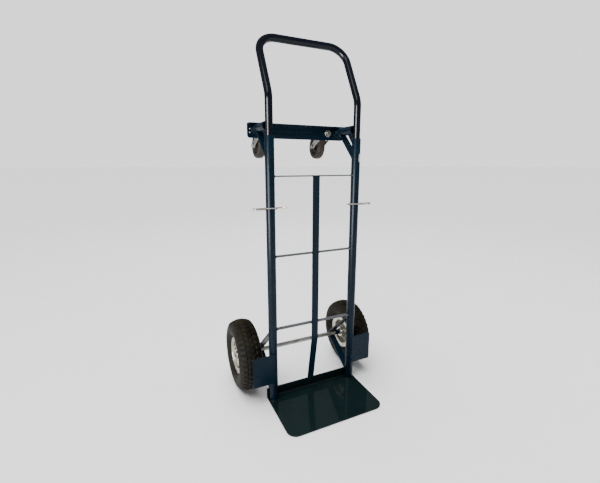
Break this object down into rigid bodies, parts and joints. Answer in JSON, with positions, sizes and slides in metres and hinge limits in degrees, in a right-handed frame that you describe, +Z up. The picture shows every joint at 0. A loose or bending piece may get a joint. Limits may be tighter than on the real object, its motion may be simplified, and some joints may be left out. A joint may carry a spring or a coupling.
{
  "type": "convertible hand truck",
  "caption": "Steel tube hand truck with a folded toe plate, two pneumatic wheels, a lift-out U handle on hairpins, and rear sockets and swivel casters for use as a cart.",
  "frame": {"origin": "on the ground under the middle of the frame, in the plane of the two rails, on the toe plate's underside", "axes": "+Z up the rails, -Y forward over the toe plate, +X to the right seen from in front with the toe plate towards the viewer"},
  "size_m": [0.5414, 0.462, 1.2342],
  "materials": {
    "frame_enamel": "gloss dark blue-grey enamel",
    "toe_enamel": "gloss dark grey-green enamel",
    "handle_enamel": "gloss black enamel",
    "tyre_rubber": "matte, knobbly tread",
    "tube_rubber": "matte",
    "caster_rubber": "matte grey-brown",
    "caster_core": "matte dark grey",
    "valve_rubber": "matte",
    "rim_zinc": "galvanised pressed steel",
    "bearing_steel": "ground steel",
    "fork_zinc": "zinc plated",
    "hardware_zinc": "zinc plated"
  },
  "bodies": {
    "frame": {"axle": "hardware_zinc", "axle_bracket_left": "frame_enamel", "axle_bracket_right": "frame_enamel", "axle_spacers": "frame_enamel", "axle_washers": "hardware_zinc", "brace_strap_left": "frame_enamel", "brace_strap_right": "frame_enamel", "caster_bar": "frame_enamel", "caster_races": "fork_zinc", "centre_strap": "frame_enamel", "cotter_pins": "hardware_zinc", "guard_plate_left": "frame_enamel", "guard_plate_right": "frame_enamel", "gusset_left": "frame_enamel", "gusset_right": "frame_enamel", "kingpin_nuts": "hardware_zinc", "kingpins": "hardware_zinc", "rail_left": "frame_enamel", "rail_right": "frame_enamel", "rung_bottom": "frame_enamel", "rung_middle": "frame_enamel", "rung_top": "frame_enamel", "socket_left": "frame_enamel", "socket_right": "frame_enamel", "toe_plate": "toe_enamel"},
    "wheel_left": {"tyre_left": "tyre_rubber", "inner_tube_left": "tube_rubber", "rim_outer_left": "rim_zinc", "rim_inner_left": "rim_zinc", "hub_left": "rim_zinc", "wheel_bearings_left": "bearing_steel", "rim_bolts_left": "hardware_zinc", "valve_stem_left": "valve_rubber"},
    "caster_left": {"caster_fork_left": "fork_zinc", "caster_balls_left": "bearing_steel", "caster_bush_left": "hardware_zinc", "caster_axle_left": "hardware_zinc"},
    "caster_wheel_left": {"caster_tread_left": "caster_rubber", "caster_core_left": "caster_core"},
    "hairpin_left": {"hairpin_left": "hardware_zinc"},
    "wheel_right": {"tyre_right": "tyre_rubber", "inner_tube_right": "tube_rubber", "rim_outer_right": "rim_zinc", "rim_inner_right": "rim_zinc", "hub_right": "rim_zinc", "wheel_bearings_right": "bearing_steel", "rim_bolts_right": "hardware_zinc", "valve_stem_right": "valve_rubber"},
    "caster_right": {"caster_fork_right": "fork_zinc", "caster_balls_right": "bearing_steel", "caster_bush_right": "hardware_zinc", "caster_axle_right": "hardware_zinc"},
    "caster_wheel_right": {"caster_tread_right": "caster_rubber", "caster_core_right": "caster_core"},
    "hairpin_right": {"hairpin_right": "hardware_zinc"},
    "handle": {"handle_tube": "handle_enamel"}
  },
  "joints": [
    {"name": "wheel_spin_left", "type": "hinge", "parent": "frame", "child": "wheel_left", "pos_m": [-0.228, 0.134, 0.13], "axis": [1, 0, 0], "continuous": true},
    {"name": "caster_swivel_left", "type": "hinge", "parent": "frame", "child": "caster_left", "pos_m": [-0.12, 0.149, 0.941], "axis": [0, 1, 0], "continuous": true},
    {"name": "caster_roll_left", "type": "hinge", "parent": "caster_left", "child": "caster_wheel_left", "pos_m": [-0.12, 0.219, 0.897], "axis": [1, 0, 0], "continuous": true},
    {"name": "hairpin_pull_left", "type": "slide", "parent": "frame", "child": "hairpin_left", "axis": [-1, 0, 0], "range_m": [0, 0.07]},
    {"name": "wheel_spin_right", "type": "hinge", "parent": "frame", "child": "wheel_right", "pos_m": [0.228, 0.134, 0.13], "axis": [1, 0, 0], "continuous": true},
    {"name": "caster_swivel_right", "type": "hinge", "parent": "frame", "child": "caster_right", "pos_m": [0.12, 0.149, 0.941], "axis": [0, 1, 0], "continuous": true},
    {"name": "caster_roll_right", "type": "hinge", "parent": "caster_right", "child": "caster_wheel_right", "pos_m": [0.12, 0.219, 0.897], "axis": [1, 0, 0], "continuous": true},
    {"name": "hairpin_pull_right", "type": "slide", "parent": "frame", "child": "hairpin_right", "axis": [1, 0, 0], "range_m": [0, 0.07]},
    {"name": "handle_lift", "type": "slide", "parent": "frame", "child": "handle", "axis": [0, 0, 1], "range_m": [0, 0.58]}
  ]
}
